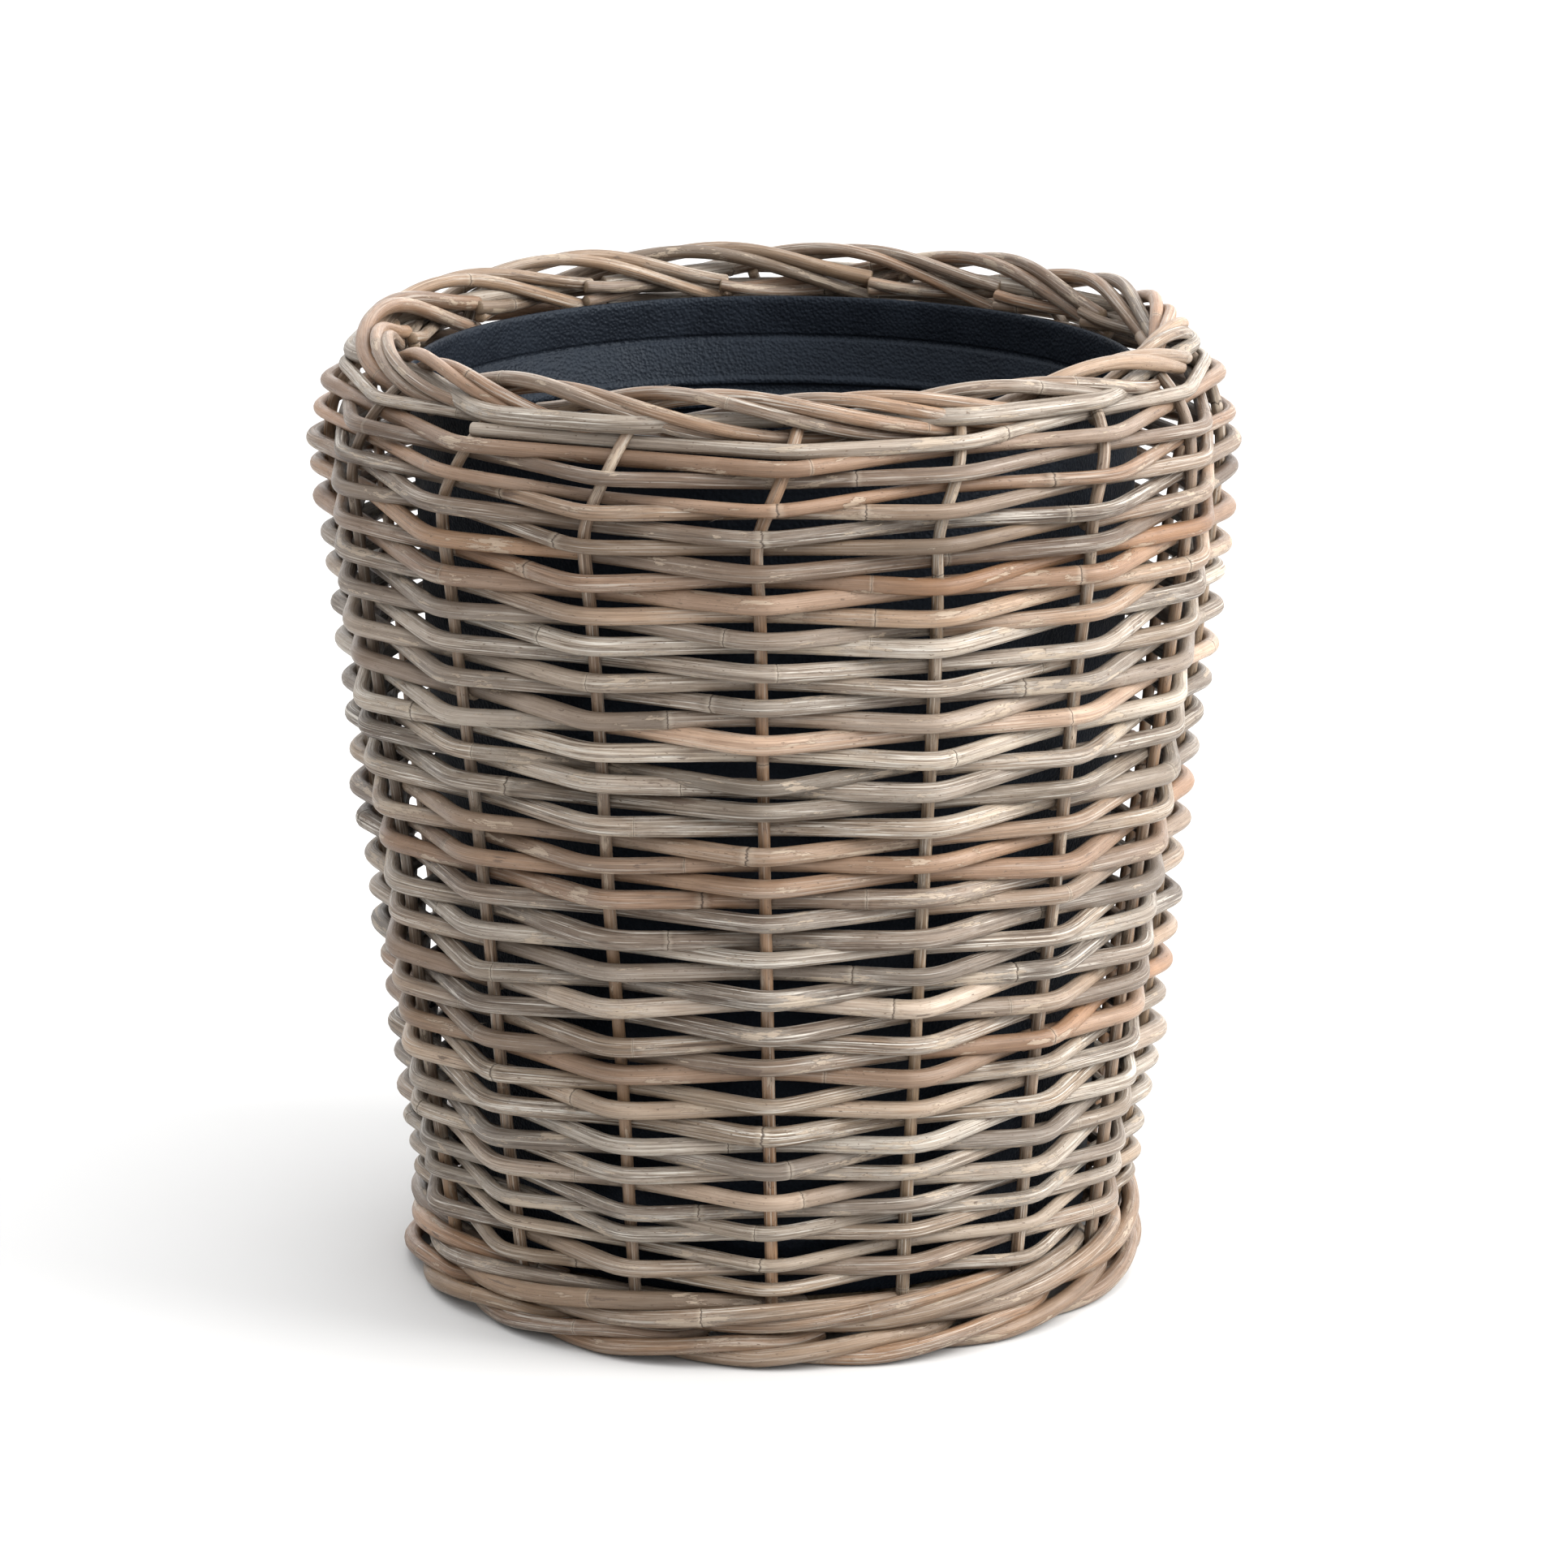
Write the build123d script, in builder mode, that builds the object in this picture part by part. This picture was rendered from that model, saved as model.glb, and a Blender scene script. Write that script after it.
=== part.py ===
from build123d import *
import os
from math import acos, asin, cos, degrees, hypot, pi, radians, sin, sqrt, tan

# A tall round rattan log basket with a plastic liner. Millimetres, +Z up, origin on
# the ground under the centre of the basket. Angles are in degrees about the Z axis.

os.makedirs("parts", exist_ok=True)

# Rods
stake_count = 16
stake_diameter = 6.2
rim_rod_diameter = 6.4
foot_rod_diameter = 9.0
base_stick_diameter = 7.0
base_weaver_diameter = 6.0
rod_clearance = 0.4

# Wall: a cone that runs smoothly into a rounded shoulder
shoulder_bend_radius = 70.0
shoulder_bend_centre = (164.6, 450.0)
wall_lean = 6.9
stake_bottom = 10.0

# Weave: thin rods at the foot and the shoulder, thick ones half way up
row_count = 49
rows_per_node = 2
first_row_height = 44.8
end_weaver_diameter = 6.6
middle_weaver_diameter = 8.7
row_gap = 1.2
row_start_shift = 5
row_end_gap = 1.5

# Top wale: the last woven row and two plain rings that cover the ends of the stakes
wale_ring_places = [(229.2, 492.8), (225.2, 500.6)]
wale_ring_diameter = 7.0

# Top border: rods that each run once round the rim like the strands of a rope
rim_height = 504.0
rim_coil_radius = 9.4
rim_rod_count = 2 * stake_count
rim_rods_per_turn = 6
rim_rod_ends = (0.06, 2.94)
rim_rod_steps = 12
rim_nodes = 4

# Foot border: (stakes passed, distance out from the stakes, height) along one rod
foot_route = [
    (0.10, 1.0, 4.05),
    (0.50, 9.0, 4.05),
    (1.00, 15.0, 9.3),
    (1.50, 17.5, 14.4),
    (2.00, 17.0, 19.5),
    (2.50, 14.0, 24.4),
    (3.00, 10.5, 29.2),
    (3.45, 3.0, 33.4),
]
foot_nodes = 4

# Base
base_height = 18.0
base_stick_spacing = 7.5
base_hub_reach = 20.0
base_fan_radius = 46.0
base_stick_end_radius = 183.0
base_ring_first_radius = 62.0
base_ring_pitch = 6.5
base_ring_nodes = {"base_weave_inner": 6, "base_weave_middle": 5, "base_weave_outer": 5}

# Liner
liner_clearance = 0.5
liner_bottom_radius = 168.0
liner_top_radius = 193.0
liner_top = 493.5
liner_wall = 2.5
liner_floor_bend = 6.0
liner_top_band = 22.0
liner_middle_band = 25.0
liner_low_band = 9.0
liner_step = 1.2

# Sizes that follow
stake_step = 360 / stake_count
base_swing = (base_stick_diameter + base_weaver_diameter) / 2 + rod_clearance
cone_top_radius = shoulder_bend_centre[0] + shoulder_bend_radius * cos(radians(wall_lean))
cone_top_height = shoulder_bend_centre[1] - shoulder_bend_radius * sin(radians(wall_lean))


def wall_radius(height):
    """Radius of the circle of stake centres at a height."""
    if height <= cone_top_height:
        return cone_top_radius - (cone_top_height - height) * tan(radians(wall_lean))
    rise = height - shoulder_bend_centre[1]
    return shoulder_bend_centre[0] + sqrt(shoulder_bend_radius**2 - rise**2)


def weaver_diameter(row):
    """Diameter of the rod of one row, counted from 0 at the foot."""
    way_up = (row + 0.5) / row_count
    return end_weaver_diameter + (middle_weaver_diameter - end_weaver_diameter) * sin(pi * way_up)


def weave_swing(height, diameter):
    """How far a weaver's centre stands out from, or in from, the stake centres."""
    lean = radians(wall_lean)
    if height > cone_top_height:
        lean = asin((height - shoulder_bend_centre[1]) / shoulder_bend_radius)
    return (stake_diameter + diameter) / 2 / cos(lean) + rod_clearance


rim_radius = wall_radius(rim_height)


def polar(radius, angle, height=0.0):
    """Point at a radius, an angle about Z and a height."""
    return Vector(radius * cos(radians(angle)), radius * sin(radians(angle)), height)


def round_rod(line, diameter):
    """A round rod that follows a line."""
    with BuildPart() as swept:
        with BuildSketch(Plane(origin=line @ 0, z_dir=line % 0)):
            Circle(diameter / 2)
        sweep(path=line)
    return swept.part


def bend_radii(points, share):
    """Bend radius at each inner corner: its tangents use a share of the shorter run.

    An end run has only one bend on it, so it counts twice.
    """
    runs = [after - before for before, after in zip(points, points[1:])]
    lengths = [run.length for run in runs]
    lengths[0] *= 2
    lengths[-1] *= 2
    radii = []
    for corner in range(1, len(runs)):
        half_turn = radians(runs[corner - 1].get_angle(runs[corner])) / 2
        radii.append(share * min(lengths[corner - 1], lengths[corner]) / tan(half_turn))
    return radii


def bent_rod(points, diameter, share=0.45):
    """A round rod along straight runs joined by tangent bends."""
    with BuildLine() as path:
        FilletPolyline(*points, radius=bend_radii(points, share))
    return round_rod(path.line, diameter)


def save(shape, name):
    """Label one node and write it."""
    shape.label = name
    export_step(shape, f"parts/{name}.step")


def save_group(rods, name):
    """Label and write a node of separate rods."""
    save(Compound(children=rods), name)


# Stakes: straight up the cone, then bent in over the shoulder to the border


def stake_end_turn():
    """How far round the shoulder bend a stake runs before it meets the border."""
    border_turn = degrees(asin((rim_height - shoulder_bend_centre[1]) / shoulder_bend_radius))
    border_reach = rim_coil_radius + rim_rod_diameter / 2 + 2 * rod_clearance
    return border_turn - degrees(border_reach / shoulder_bend_radius)


def stake(angle):
    wall_plane = Plane(origin=(0, 0, 0), x_dir=polar(1, angle), z_dir=polar(1, angle - 90))
    with BuildLine(wall_plane) as path:
        Line((wall_radius(stake_bottom), stake_bottom), (cone_top_radius, cone_top_height))
        CenterArc(
            shoulder_bend_centre,
            shoulder_bend_radius,
            -wall_lean,
            stake_end_turn() + wall_lean,
        )
    return round_rod(path.line, stake_diameter)


for number in range(stake_count):
    save(stake(number * stake_step), f"stake_{number + 1:02d}")


# Weave: each row is one rod that passes outside one stake and inside the next


def corner_radii(outer_bend, inner_bend, step, share=0.45):
    """Corner radii of a zigzag whose rounded corners just reach the two bends."""
    outer = outer_bend
    inner = inner_bend
    for _ in range(30):
        across = outer - inner * cos(radians(step))
        along = inner * sin(radians(step))
        run = hypot(across, along)
        outer_half_turn = acos(along / run)
        inner_half_turn = outer_half_turn - radians(step)
        outer = outer_bend + share * run * tan(outer_half_turn / 2)
        inner = inner_bend - share * run * tan(inner_half_turn / 2)
    return outer, inner


def row_height(row):
    """Height of a row: each one lies just above the row below it."""
    height = first_row_height
    for below in range(row):
        height += (weaver_diameter(below) + weaver_diameter(below + 1)) / 2 + row_gap
    return height


def weaver(row):
    height = row_height(row)
    radius = wall_radius(height)
    diameter = weaver_diameter(row)
    outer_bend = radius + weave_swing(height, diameter)
    inner_bend = radius - weave_swing(height, diameter)
    outer, inner = corner_radii(outer_bend, inner_bend, stake_step)
    first_stake = 2 * (row * row_start_shift) + 1 - row % 2
    end_turn = degrees(row_end_gap / radius)
    last_stake = first_stake + stake_count
    points = [polar(inner_bend, first_stake * stake_step + end_turn, height)]
    for stake_number in range(first_stake + 1, last_stake):
        passes_outside = (stake_number + row) % 2 == 0
        corner = outer if passes_outside else inner
        points.append(polar(corner, stake_number * stake_step, height))
    points.append(polar(inner_bend, last_stake * stake_step - end_turn, height))
    return bent_rod(points, diameter)


for first_row in range(0, row_count - 1, rows_per_node):
    rows = range(first_row, first_row + rows_per_node)
    save_group(
        [weaver(row) for row in rows],
        f"weave_rows_{first_row + 1:02d}_{first_row + rows_per_node:02d}",
    )


# Top wale


def wale_ring(radius, height, start_angle):
    """A rod laid once round the outside of the stakes."""
    end_turn = degrees(row_end_gap / radius)
    with BuildLine(Plane.XY.offset(height)) as path:
        CenterArc((0, 0), radius, start_angle + end_turn, 360 - 2 * end_turn)
    return round_rod(path.line, wale_ring_diameter)


wale_rings = [
    wale_ring(radius, height, (number + 0.5) * row_start_shift * stake_step)
    for number, (radius, height) in enumerate(wale_ring_places)
]
save_group([weaver(row_count - 1)] + wale_rings, "top_wale")


# Top border


def rim_rod(start_angle):
    spacings_per_turn = rim_rods_per_turn * stake_count / rim_rod_count
    points = []
    for step in range(rim_rod_steps + 1):
        share = step / rim_rod_steps
        travel = rim_rod_ends[0] + share * (rim_rod_ends[1] - rim_rod_ends[0])
        coil_turn = radians(-90 - 360 * travel / spacings_per_turn)
        points.append(
            polar(
                rim_radius + rim_coil_radius * cos(coil_turn),
                start_angle + travel * stake_step,
                rim_height + rim_coil_radius * sin(coil_turn),
            )
        )
    return bent_rod(points, rim_rod_diameter)


rim_rods_per_node = rim_rod_count // rim_nodes
for node in range(rim_nodes):
    numbers = range(node * rim_rods_per_node, (node + 1) * rim_rods_per_node)
    save_group(
        [rim_rod(number * 360 / rim_rod_count) for number in numbers],
        f"rim_border_rods_{node + 1}",
    )


# Foot border: every rod starts under the wall, where it is planed level to stand on


def foot_rod(start_angle):
    points = [
        polar(wall_radius(height) + out, start_angle + travel * stake_step, height)
        for travel, out, height in foot_route
    ]
    whole = bent_rod(points, foot_rod_diameter)
    with BuildPart() as levelled:
        add(whole)
        split(bisect_by=Plane.XY, keep=Keep.TOP)
    return levelled.part


foot_rods_per_node = stake_count // foot_nodes
for node in range(foot_nodes):
    numbers = range(node * foot_rods_per_node, (node + 1) * foot_rods_per_node)
    save_group(
        [foot_rod(number * stake_step) for number in numbers],
        f"foot_border_rods_{node + 1}",
    )


# Base: two crossed bundles of sticks that fan out, half a spacing from the stakes


def base_stick(number, bundle_angle, side):
    """One stick of a bundle; side is -1 for the lower bundle and 1 for the upper one."""
    sticks_per_bundle = stake_count // 4
    place = number - (sticks_per_bundle - 1) / 2
    hub_height = base_height + side * (base_stick_diameter + rod_clearance) / 2
    hub_offset = place * base_stick_spacing
    fan_angle = place * stake_step
    half = [
        Vector(base_hub_reach, hub_offset, hub_height),
        polar(base_fan_radius, fan_angle, base_height),
        polar(base_stick_end_radius, fan_angle, base_height),
    ]
    other_half = [Vector(-point.X, point.Y, point.Z) for point in half]
    points = [point.rotate(Axis.Z, bundle_angle) for point in other_half[::-1] + half]
    return bent_rod(points, base_stick_diameter)


save_group(
    [
        base_stick(number, bundle_angle, side)
        for bundle_angle, side in ((0, -1), (90, 1))
        for number in range(stake_count // 4)
    ],
    "base_sticks",
)


def base_ring(ring):
    """A rod round the base that passes over one base stick and under the next."""
    radius = base_ring_first_radius + ring * base_ring_pitch
    run_along = radius * radians(stake_step)
    share = 0.3
    corner = base_swing
    for _ in range(30):
        half_turn = asin(2 * corner / hypot(run_along, 2 * corner))
        corner = base_swing + share * hypot(run_along, 2 * corner) * tan(half_turn / 2)
    points = []
    for stick in range(stake_count + 1):
        side = 1 if (stick + ring) % 2 == 0 else -1
        angle = (stick + 0.5) * stake_step
        points.append(polar(radius, angle, base_height + side * corner))
    first_run = points[1] - points[0]
    end_gap = first_run.normalized() * row_end_gap
    middle = points[0] + first_run * 0.5
    route = [middle + end_gap] + points[1:] + [middle - end_gap]
    return bent_rod(route, base_weaver_diameter, share)


next_ring = 0
for node_name, ring_count in base_ring_nodes.items():
    rings = range(next_ring, next_ring + ring_count)
    save_group([base_ring(ring) for ring in rings], node_name)
    next_ring += ring_count


# Liner: a tapered tub with stepped bands below its thickened edge

liner_bottom = base_height + base_swing + base_weaver_diameter / 2 + liner_clearance
liner_height = liner_top - liner_bottom
liner_draft = (liner_top_radius - liner_bottom_radius) / liner_height


def liner_radius(height):
    """Outer radius of the liner at a height."""
    return liner_bottom_radius + (height - liner_bottom) * liner_draft


with BuildPart() as liner:
    with BuildSketch(Plane.XZ):
        top_step = liner_top - liner_top_band
        middle_step = top_step - liner_middle_band
        low_step = middle_step - liner_low_band
        inner_floor = liner_bottom + liner_wall
        with BuildLine():
            Polyline(
                (0, liner_bottom),
                (liner_bottom_radius, liner_bottom),
                (liner_top_radius, liner_top),
                (liner_top_radius - 2 * liner_wall, liner_top),
                (liner_top_radius - 2 * liner_wall, liner_top - liner_wall),
                (liner_radius(top_step) - liner_wall, top_step),
                (liner_radius(top_step) - liner_wall - liner_step, top_step - liner_step),
                (liner_radius(middle_step) - liner_wall - liner_step, middle_step),
                (liner_radius(low_step) - liner_wall - 3 * liner_step, low_step),
                (liner_radius(low_step) - liner_wall, low_step - 3 * liner_step),
                (liner_radius(inner_floor) - liner_wall, inner_floor),
                (0, inner_floor),
                close=True,
            )
        make_face()
    revolve(axis=Axis.Z)
    outer_floor_edge = liner.edges().filter_by(GeomType.CIRCLE).group_by(Axis.Z)[0]
    fillet(outer_floor_edge, liner_floor_bend)

save(liner.part, "liner")
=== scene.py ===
from math import cos, pi, radians, sin, sqrt

import bpy
import numpy as np
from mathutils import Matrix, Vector


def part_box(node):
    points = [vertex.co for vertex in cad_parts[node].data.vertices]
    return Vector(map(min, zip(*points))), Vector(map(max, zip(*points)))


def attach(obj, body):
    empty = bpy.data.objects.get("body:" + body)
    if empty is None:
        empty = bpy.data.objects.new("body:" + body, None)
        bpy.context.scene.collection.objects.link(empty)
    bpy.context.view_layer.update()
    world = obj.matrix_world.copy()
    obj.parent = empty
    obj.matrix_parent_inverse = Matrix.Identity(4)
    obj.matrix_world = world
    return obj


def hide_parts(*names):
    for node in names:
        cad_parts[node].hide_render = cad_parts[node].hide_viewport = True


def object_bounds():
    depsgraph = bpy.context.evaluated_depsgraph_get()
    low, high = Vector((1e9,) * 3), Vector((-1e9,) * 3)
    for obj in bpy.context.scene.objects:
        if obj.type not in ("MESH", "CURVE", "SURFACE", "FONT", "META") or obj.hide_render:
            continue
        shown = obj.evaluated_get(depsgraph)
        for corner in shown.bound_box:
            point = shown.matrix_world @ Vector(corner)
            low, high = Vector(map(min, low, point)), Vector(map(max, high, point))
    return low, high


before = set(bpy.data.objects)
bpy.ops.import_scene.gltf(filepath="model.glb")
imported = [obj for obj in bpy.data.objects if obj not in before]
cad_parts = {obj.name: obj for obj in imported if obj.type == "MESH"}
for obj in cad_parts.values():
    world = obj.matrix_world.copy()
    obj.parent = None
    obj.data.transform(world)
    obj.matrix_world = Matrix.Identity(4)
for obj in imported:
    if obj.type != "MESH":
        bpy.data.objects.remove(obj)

# A tall round rattan log basket with a plastic liner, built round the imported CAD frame.
# Metres, +Z up, origin on the ground under the centre of the basket, angles in radians.

cad_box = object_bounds()
chance = np.random.default_rng(11)


# ---------------------------------------------------------------- sizes from the frame


def nodes_named(start):
    """Names of the CAD nodes that begin with a word, in order."""
    return sorted(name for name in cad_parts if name.startswith(start))


def low(node):
    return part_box(node)[0]


def high(node):
    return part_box(node)[1]


stake_nodes = nodes_named("stake")
weave_nodes = nodes_named("weave_rows")
rim_nodes = nodes_named("rim_border")
foot_nodes = nodes_named("foot_border")
base_nodes = nodes_named("base_")

stake_count = len(stake_nodes)
stake_step = 2 * pi / stake_count
stake_size = high(stake_nodes[0]).y - low(stake_nodes[0]).y
stake_bottom = low(stake_nodes[0]).z

rows_per_node = 2
row_gap = 0.0012
straight_nodes = 8  # the wall leans evenly over this many of the lowest nodes
wale_box = (low("top_wale"), high("top_wale"))


def node_rows(node):
    """Heights and sizes of the two rods of a woven node, the lower one first."""
    size = (high(node).z - low(node).z - row_gap) / 2
    return [(low(node).z + size / 2, size), (high(node).z - size / 2, size)]


def wale_rows():
    """Heights and sizes of the last woven row and of the two rods above it."""
    woven_size = node_rows(weave_nodes[-1])[1][1]
    ring_size = 1.05 * woven_size
    upper = wale_box[1].z - ring_size / 2
    woven = wale_box[0].z + woven_size / 2
    return [(woven, woven_size), ((woven + upper) / 2, ring_size), (upper, ring_size)]


cad_rows = [row for node in weave_nodes for row in node_rows(node)] + wale_rows()
row_count = len(cad_rows)
wale_count = 3

rim_top = max(high(node).z for node in rim_nodes)
rim_bottom = min(low(node).z for node in rim_nodes)
rim_height = (rim_top + rim_bottom) / 2
rim_radius = max(high(node).y for node in rim_nodes) - (rim_top - rim_bottom) / 2
rim_size = 1.15 * stake_size
foot_size = 1.5 * stake_size


def outer_bend_radius(node, size):
    """Radius of the stakes' circle at the first row of a node, from how far the row reaches."""
    return high(node).x - size / 2 - (stake_size + size) / 2


def lowest_row(node):
    """Height and size of the lowest rod of a woven node."""
    return wale_rows()[0] if node == "top_wale" else node_rows(node)[0]


measured_heights = []
measured_radii = []
for node in weave_nodes + ["top_wale"]:
    row_height, row_size = lowest_row(node)
    measured_heights.append(row_height)
    measured_radii.append(outer_bend_radius(node, row_size))
straight_rise = measured_heights[straight_nodes] - measured_heights[0]
foot_lean = (measured_radii[straight_nodes] - measured_radii[0]) / straight_rise
ground_radius = measured_radii[0] - measured_heights[0] * foot_lean
wall_heights = [0.0] + measured_heights + [rim_height]
wall_radii = [ground_radius] + measured_radii + [rim_radius]


def wall_radius(height):
    """Radius of the circle of stake centres at a height."""
    return np.interp(height, wall_heights, wall_radii)


# ---------------------------------------------------------------- unevenness by hand


def slow_waves(phases, angle, height):
    """A smooth value from about -1 to 1 over the wall, uneven all the way round it."""
    first = sin(2 * angle + phases[0]) * sin(9 * height + phases[1])
    second = sin(3 * angle + phases[2]) * sin(17 * height + phases[3])
    third = sin(5 * angle + phases[4]) * sin(31 * height + phases[5])
    return (first + second + third) / 2


sag = 0.0024
bulge = 0.0020
calm_height = 0.10  # the unevenness fades out over this height at the foot and the rim
sag_phases = chance.uniform(0, 2 * pi, 6)
bulge_phases = chance.uniform(0, 2 * pi, 6)
stake_tilts = chance.normal(0, 0.016, stake_count)
stake_leans = chance.normal(0.24, 0.04, stake_count)
lean_height = rim_height - 0.052
mean_crowding = radians(1.3)
crowding_change = radians(1.6)


def stake_angle(number, height):
    """Where stake number stands round the basket at a height: near the top it leans over."""
    place = number % stake_count
    even = number * stake_step
    crowding = -mean_crowding - crowding_change * cos(even)
    tilt = stake_tilts[place] * (height / rim_height - 0.5)
    rise = max(0.0, height - lean_height) / (rim_height - lean_height)
    return even + crowding + tilt + stake_leans[place] * stake_step * rise


def wall_point(angle, out, height):
    """Point on the uneven wall, out from the circle of the stakes."""
    fade = min(1.0, height / calm_height, 0.3 + (rim_height - height) / calm_height)
    radius = wall_radius(height) + out + bulge * fade * slow_waves(bulge_phases, angle, height)
    lift = sag * fade * slow_waves(sag_phases, angle, height)
    return (radius * cos(angle), radius * sin(angle), height + lift)


# ---------------------------------------------------------------- lines of rods

line_step = 0.0025
bend_rounds = 4
bend_correction = 0.8


def resample(points):
    """Evenly spaced points along a polyline, and each given point's share of the way."""
    runs = np.linalg.norm(np.diff(points, axis=0), axis=1)
    along = np.concatenate([[0.0], np.cumsum(runs)])
    count = max(6, round(along[-1] / line_step)) + 1
    places = np.linspace(0, along[-1], count)
    line = np.column_stack([np.interp(places, along, points[:, axis]) for axis in range(3)])
    return line, along / along[-1]


def soften(line, spread):
    """A line smoothed over a distance along it; its ends stay where they are."""
    steps = spread / line_step
    reach = min(int(3 * steps) + 1, len(line) - 2)
    weights = np.exp(-0.5 * (np.arange(-reach, reach + 1) / steps) ** 2)
    weights /= weights.sum()
    before = 2 * line[0] - line[reach:0:-1]
    after = 2 * line[-1] - line[-2 : -reach - 2 : -1]
    padded = np.vstack([before, line, after])
    smooth = [np.convolve(padded[:, axis], weights, "valid") for axis in range(3)]
    return np.column_stack(smooth)


def bent_line(targets, spread):
    """Line of a rod that bends at the targets and still reaches them."""
    targets = np.array(targets, float)
    corners = targets.copy()
    for _ in range(bend_rounds):
        line, shares = resample(corners)
        line = soften(line, spread)
        places = np.linspace(0, 1, len(line))
        reached = [np.interp(shares, places, line[:, axis]) for axis in range(3)]
        corners += bend_correction * (targets - np.column_stack(reached))
    return line


# ---------------------------------------------------------------- colours of the cane


def srgb(red, green, blue):
    """Linear colour from screen values of 0 to 255, by the sRGB rule."""
    share = np.array([red, green, blue]) / 255
    return np.where(share <= 0.04045, share / 12.92, ((share + 0.055) / 1.055) ** 2.4)


def blend(first, second, share):
    return first + (second - first) * np.clip(share, 0, 1)


honey = srgb(160, 122, 91)
beige = srgb(148, 128, 105)
grey = srgb(128, 118, 108)
dark = srgb(92, 80, 70)
pale = srgb(198, 191, 180)

# Bands of the wall woven from one bundle of cane: (share of the rows, width of the band)
honey_bands = [(0.28, 0.035), (0.47, 0.03), (0.66, 0.012), (0.80, 0.05), (0.94, 0.05)]
pale_bands = [(0.10, 0.06), (0.19, 0.04), (0.38, 0.05), (0.60, 0.06), (0.72, 0.03), (0.99, 0.02)]


def band_share(bands, share):
    return sum(np.exp(-(((share - centre) / width) ** 2)) for centre, width in bands)


def row_tone(row):
    """Colour of one cane of a row, and how weathered it is from 0 to 1."""
    share = row / (row_count - 1) + chance.normal(0, 0.012)
    warmth = 0.9 * band_share(honey_bands, share) + chance.normal(0.14, 0.26)
    bleaching = 0.9 * band_share(pale_bands, share) * chance.uniform(0.2, 1.0)
    tone = blend(beige, honey, warmth)
    tone = blend(tone, pale, bleaching)
    tone = blend(tone, dark, 0.65 * (chance.random() < 0.15) + chance.uniform(0, 0.2))
    tone = tone * chance.normal(1, 0.16)
    weathering = np.clip(0.55 + 0.4 * bleaching - 0.45 * warmth + chance.normal(0, 0.15), 0.05, 1)
    return blend(tone, grey, chance.uniform(0, 0.4)), weathering


# ---------------------------------------------------------------- meshes of rods

sides = 16
around = np.arange(sides) * 2 * pi / sides
ring_step = 0.004
closest_rings = 0.0002
cane_taper = 0.10
size_wander = 0.035
splinters_per_metre = 1.2
end_bevel = 0.0007
end_dome = 0.0009
clear_of_knots = 0.05
# Extra rings of points stand at these distances from a knot
near_knot = np.array([-7, -4, -2.2, -1.1, -0.5, 0, 0.5, 1.1, 2.2, 4, 7]) * 0.001


def wander(places, spacing, reach):
    """A smooth random value along a rod, drawn anew every spacing."""
    count = int(places[-1] / spacing) + 3
    drawn = chance.normal(0, reach, count)
    position = places / spacing
    start = position.astype(int)
    share = position - start
    share = share * share * (3 - 2 * share)
    return drawn[start] * (1 - share) + drawn[start + 1] * share


def cross_axes(directions):
    """Two axes across a line at each of its points, that don't twist round it."""
    side = np.cross(directions[0], (0.31, 0.42, 0.85))
    sideways = np.empty_like(directions)
    for index, direction in enumerate(directions):
        side = side - direction * side.dot(direction)
        side = side / sqrt(side.dot(side))
        sideways[index] = side
    return sideways, np.cross(directions, sideways)


def place_knots(length):
    """Distances along a cane of the rings where its leaves grew."""
    knots = [chance.uniform(0.02, 0.30)]
    while knots[-1] < length:
        knots.append(knots[-1] + chance.uniform(0.16, 0.42))
    return np.array(knots)


def ring_places(length, knots):
    """Distances along a cane of its rings of points: even, and closer together at the knots."""
    close_places = (knots[:, None] + near_knot).ravel()
    close_places = close_places[(close_places > 0) & (close_places < length)]
    even_places = np.linspace(0, length, int(length / ring_step) + 2)
    places = np.sort(np.concatenate([even_places, close_places]))
    return places[np.diff(places, prepend=-1) > closest_rings]


def outline(places, gap, boldness):
    """How far a cane is from round at each place and angle.

    gap is the distance from the nearest knot, and boldness says how marked that knot is.
    """
    shape = np.ones((len(places), sides))
    for lobes, spacing, reach in ((2, 0.06, 0.020), (3, 0.08, 0.012), (5, 0.03, 0.008)):
        lobe = np.cos(lobes * around + chance.uniform(0, 2 * pi))
        shape += wander(places, spacing, reach)[:, None] * lobe
    ripple = 0.6 * np.cos(around + chance.uniform(0, 2 * pi))
    ripple += 0.4 * np.cos(3 * around + chance.uniform(0, 2 * pi))
    swelling = boldness * 0.060 * np.exp(-((gap / 0.0050) ** 2))
    groove = boldness * 0.060 * np.exp(-((gap / 0.0006) ** 2))
    lip = boldness * 0.035 * (gap > 0) * np.exp(-np.abs(gap) / 0.007)
    return shape + (swelling - lip)[:, None] - groove[:, None] * (1 + ripple)


def weathered(places, knots, tone, weathering):
    """Colour and wear at each place of a cane: they change at its knots and drift between."""
    stretch = np.searchsorted(knots, places)
    light = chance.normal(1, 0.10, len(knots) + 1)[stretch] + wander(places, 0.06, 0.10)
    greyed = np.clip(wander(places, 0.16, 0.3) + 0.15, 0, 0.7)
    tint = blend(tone[None, :], grey[None, :], greyed[:, None]) * light[:, None]
    wear = chance.normal(weathering, 0.12, len(knots) + 1)[stretch]
    return tint, np.clip(wear + wander(places, 0.09, 0.18), 0, 1)


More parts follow.
